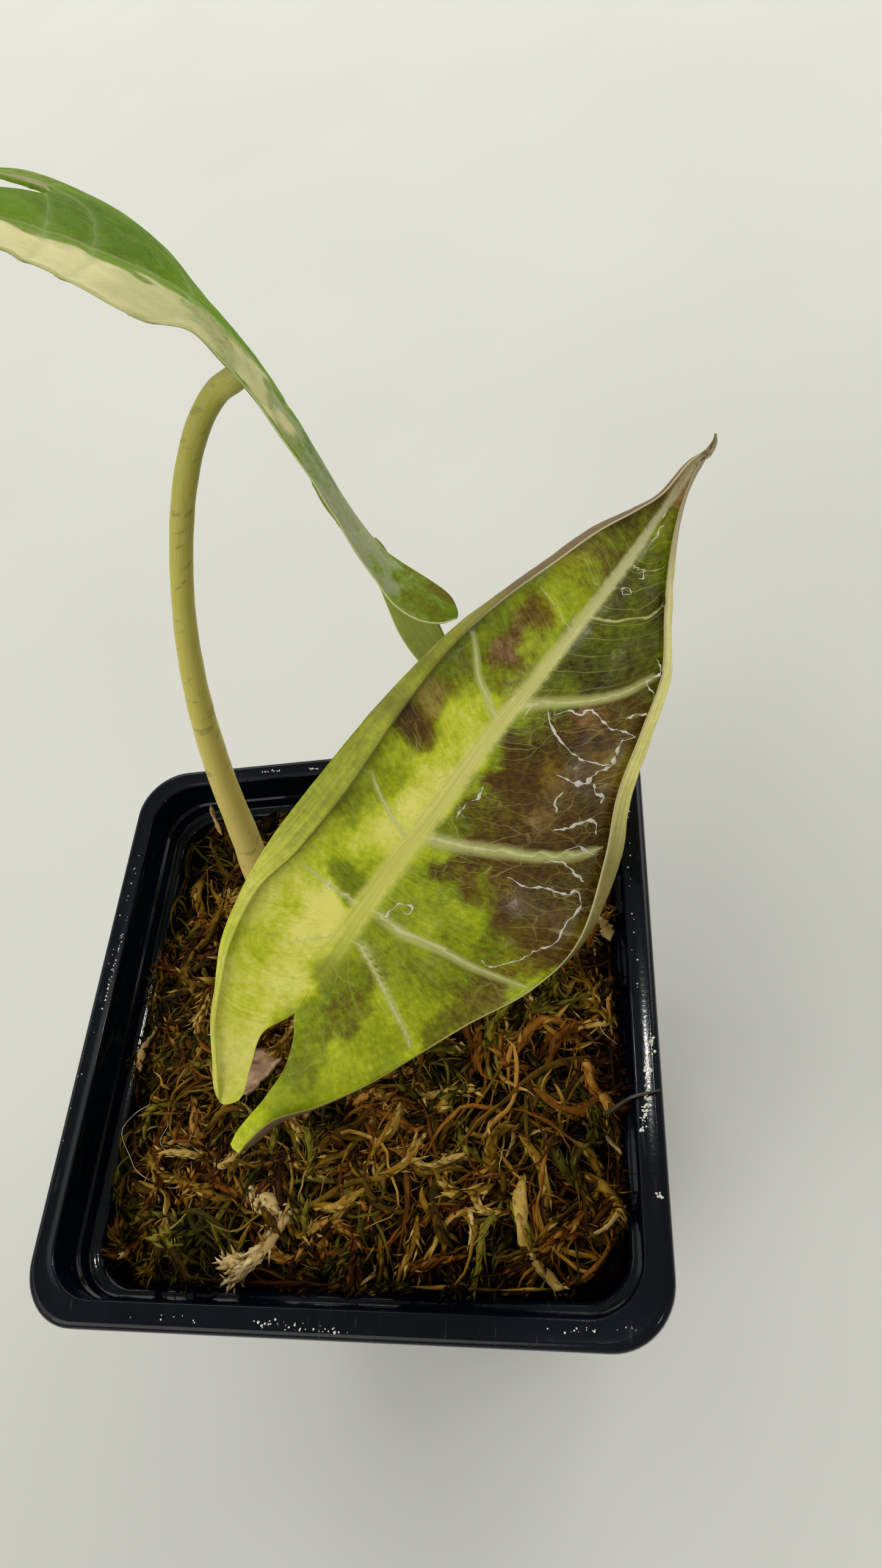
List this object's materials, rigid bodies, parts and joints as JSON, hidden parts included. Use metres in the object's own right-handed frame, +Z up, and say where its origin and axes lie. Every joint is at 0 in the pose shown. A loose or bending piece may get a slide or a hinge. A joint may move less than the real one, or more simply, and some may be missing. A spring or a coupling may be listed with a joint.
{
  "type": "potted variegated kris plant",
  "caption": "Young kris plant with cream-and-green arrow-shaped leaves on arching stalks, in a dark square nursery pot filled with sphagnum moss.",
  "frame": {"origin": "middle of the pot's underside, on the surface the pot stands on", "axes": "+Z up the pot; +X to the right and +Y away for a viewer facing the front leaf's lobes; the pot's sides lie along X and Y"},
  "size_m": [0.1107, 0.129, 0.1731],
  "materials": {
    "pot_plastic": "blue-black moulded polypropylene, semi-gloss, wet",
    "moss": "moist long-fibred sphagnum, brown and olive",
    "root": "pale firm rootstock and roots",
    "dry_scale": "dry papery scale leaf, pinkish brown",
    "stalk": "smooth pale olive stalk with fine flecks",
    "leaf_front": "wet glossy leaf, dark olive right half, lime and cream left half, pale veins",
    "leaf_back": "waxy leaf, cream near half, green far half"
  },
  "bodies": {
    "root": {"nursery_pot": "pot_plastic", "sphagnum_moss": "moss", "rootstock": "root", "scale_leaf": "dry_scale", "stalk_front": "stalk", "stalk_back": "stalk", "blade_front": "leaf_front", "blade_back": "leaf_back"}
  },
  "joints": []
}
